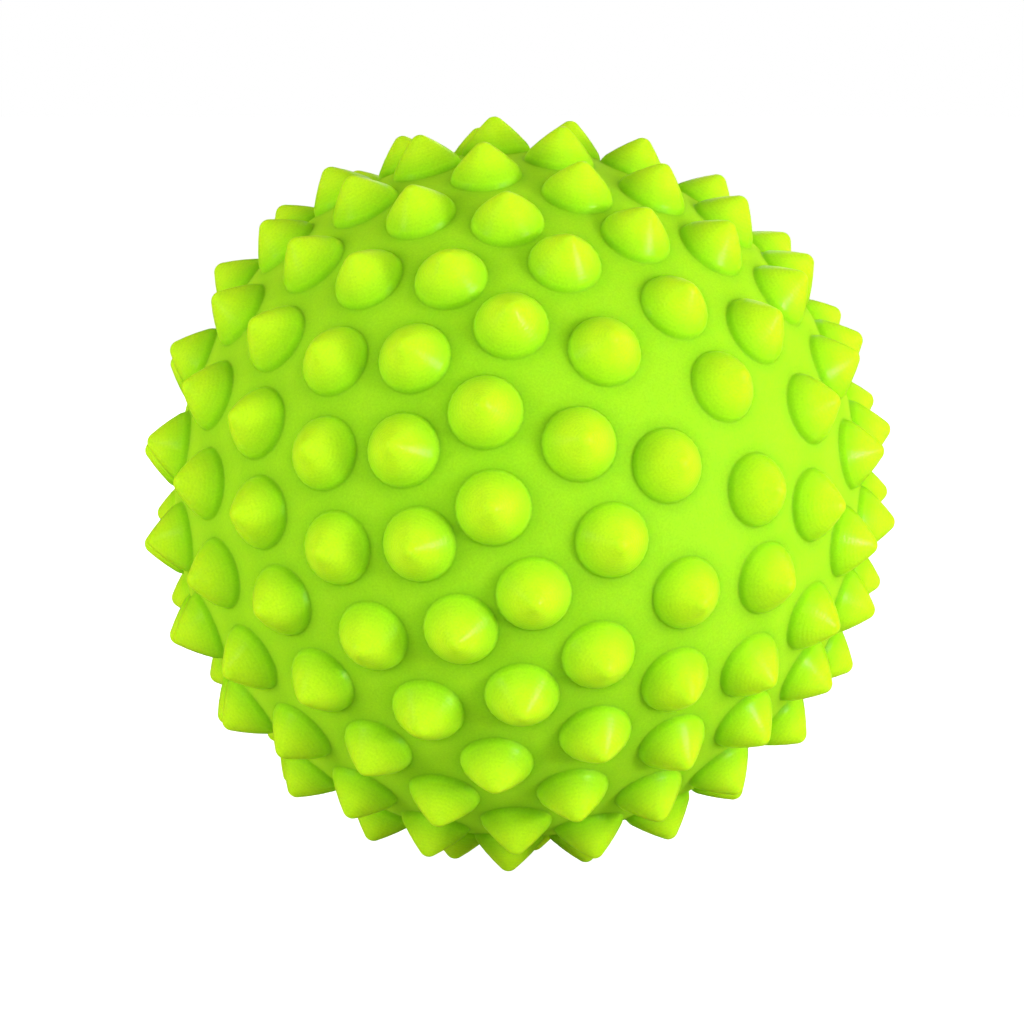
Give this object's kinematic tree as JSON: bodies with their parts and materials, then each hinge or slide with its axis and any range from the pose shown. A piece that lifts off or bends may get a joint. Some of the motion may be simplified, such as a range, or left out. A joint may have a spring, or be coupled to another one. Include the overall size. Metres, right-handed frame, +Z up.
{
  "type": "massage ball",
  "caption": "Hollow soft vinyl ball covered all over in short blunt cone spikes, with a push-in air valve plug flush with its skin.",
  "frame": {"origin": "centre of the ball", "axes": "+Z up as the ball is seen in use, +Y away from the viewer, +X to the viewer's right; the mould axis is oblique, from the front pole (0.533, -0.811, 0.240) to the valve at (-0.533, 0.811, -0.240)"},
  "size_m": [0.0895, 0.0897, 0.0897],
  "materials": {
    "lime_vinyl": "satin",
    "sleeve_vinyl": "matte",
    "plug_plastic": "satin"
  },
  "bodies": {
    "ball": {"ball_shell": "lime_vinyl", "valve_sleeve": "sleeve_vinyl"},
    "plug": {"valve_plug": "plug_plastic"}
  },
  "joints": [
    {"name": "plug_pull", "type": "slide", "parent": "ball", "child": "plug", "axis": [-0.5329, 0.8113, -0.2402], "range_m": [0, 0.01]}
  ]
}
